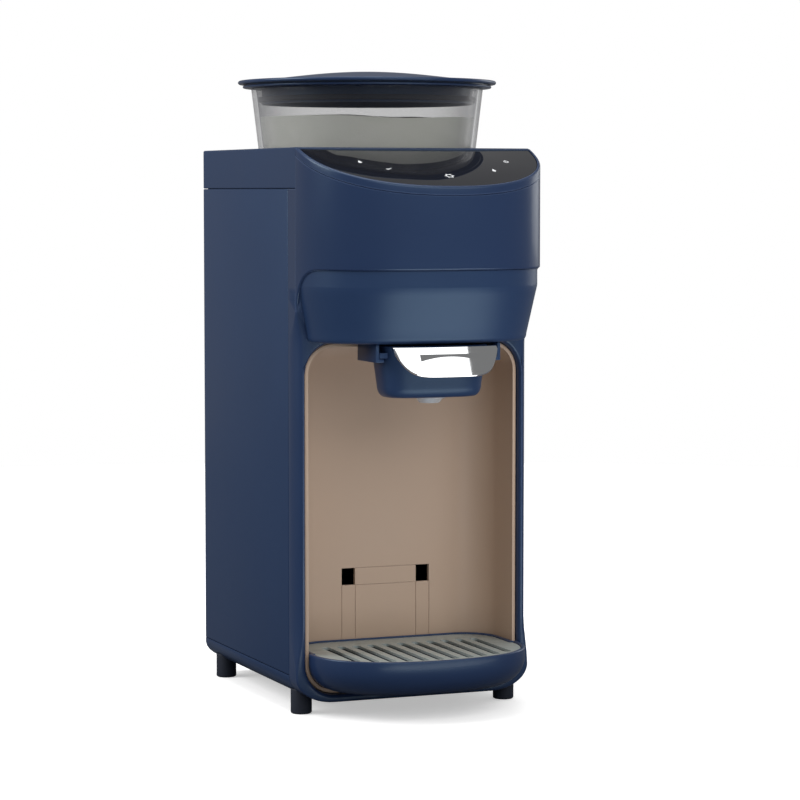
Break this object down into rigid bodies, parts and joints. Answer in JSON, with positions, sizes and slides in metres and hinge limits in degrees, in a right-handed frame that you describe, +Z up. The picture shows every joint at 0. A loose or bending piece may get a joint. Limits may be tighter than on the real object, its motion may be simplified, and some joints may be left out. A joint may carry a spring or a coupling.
{
  "type": "baby formula maker",
  "caption": "Countertop baby formula maker: powder hopper and lid on top, hood with touch panel, mixing funnel, bottle bay with drip tray, water tank at the back.",
  "frame": {"origin": "on the ground, under the middle of the whole object", "axes": "+Z up, the bottle bay faces -Y, +X to the right of someone facing the bay"},
  "size_m": [0.1586, 0.234, 0.3834],
  "materials": {
    "navy_gloss": "satin navy moulded plastic",
    "navy_satin": "satin navy moulded plastic",
    "taupe": "satin taupe moulded plastic",
    "black_glass": "polished black glass",
    "steel": "brushed stainless sheet",
    "chrome": "bright plated plastic",
    "frosted": "frosted clear plastic",
    "clear_tip": "clear grey plastic",
    "smoke": "smoke clear plastic",
    "rubber": "black rubber",
    "silicone": "clear silicone",
    "board": "green circuit board",
    "alloy": "cast alloy",
    "black_plastic": "black moulded plastic",
    "nylon": "white nylon"
  },
  "bodies": {
    "housing": {"base_shell": "navy_satin", "front_shell": "navy_gloss", "panel_rim": "navy_gloss", "touch_panel": "black_glass", "control_board": "board", "left_side_panel": "navy_satin", "right_side_panel": "navy_satin", "rear_cover": "navy_satin", "power_inlet": "black_plastic", "top_cover": "navy_satin", "hopper_well": "navy_satin", "well_floor": "navy_satin", "niche_liner": "taupe", "niche_back": "taupe", "niche_corner_left": "taupe", "niche_corner_right": "taupe", "spout_housing": "navy_satin", "powder_chute": "nylon", "funnel_rail_left": "black_plastic", "funnel_rail_right": "black_plastic", "gearbox_plate": "black_plastic", "dosing_motor": "alloy", "tank_bay": "black_plastic", "tank_socket": "black_plastic", "tank_seal": "rubber", "water_pump": "black_plastic", "heater_block": "alloy", "suction_hose": "silicone", "pressure_hose": "silicone", "spout_hose": "silicone", "water_nozzle": "clear_tip", "main_board": "board", "foot_1": "rubber", "foot_2": "rubber", "foot_3": "rubber", "foot_4": "rubber", "base_screw_1": "steel", "base_screw_2": "steel", "base_screw_3": "steel", "base_screw_4": "steel"},
    "funnel": {"funnel_cup": "navy_satin", "funnel_handle": "chrome", "funnel_nozzle": "clear_tip"},
    "drip_tray": {"drip_tray": "navy_gloss"},
    "drip_grid": {"drip_grid": "steel"},
    "hopper": {"hopper": "frosted", "hopper_base": "black_plastic"},
    "hopper_lid": {"hopper_lid": "navy_gloss", "lid_seal": "rubber"},
    "dosing_rotor": {"dosing_wheel": "nylon", "stirrer": "nylon"},
    "drive_gear": {"drive_gear": "nylon"},
    "motor_pinion": {"motor_pinion": "alloy"},
    "water_tank": {"water_tank": "smoke", "tank_grip": "smoke"}
  },
  "joints": [
    {"name": "hopper_lift", "type": "slide", "parent": "housing", "child": "hopper", "axis": [0, 0, 1], "range_m": [0, 0.06]},
    {"name": "lid_lift", "type": "slide", "parent": "hopper", "child": "hopper_lid", "axis": [0, 0, 1], "range_m": [0, 0.03]},
    {"name": "wheel_spin", "type": "hinge", "parent": "hopper", "child": "dosing_rotor", "pos_m": [0, 0.019, 0.29], "axis": [0, 0, 1], "continuous": true},
    {"name": "drive_spin", "type": "hinge", "parent": "housing", "child": "drive_gear", "pos_m": [0, 0.019, 0.276], "axis": [0, 0, 1], "continuous": true},
    {"name": "pinion_spin", "type": "hinge", "parent": "housing", "child": "motor_pinion", "pos_m": [-0.03, 0.019, 0.276], "axis": [0, 0, 1], "continuous": true},
    {"name": "funnel_slide", "type": "slide", "parent": "housing", "child": "funnel", "axis": [0, -1, 0], "range_m": [0, 0.06]},
    {"name": "tray_slide", "type": "slide", "parent": "housing", "child": "drip_tray", "axis": [0, -1, 0], "range_m": [0, 0.06]},
    {"name": "grid_lift", "type": "slide", "parent": "drip_tray", "child": "drip_grid", "axis": [0, 0, 1], "range_m": [0, 0.03]},
    {"name": "tank_slide", "type": "slide", "parent": "housing", "child": "water_tank", "axis": [0, 1, 0], "range_m": [0, 0.055]}
  ],
  "couplings": [
    {"joint": "wheel_spin", "follows": "drive_spin", "ratio": 1},
    {"joint": "pinion_spin", "follows": "drive_spin", "ratio": -3}
  ]
}
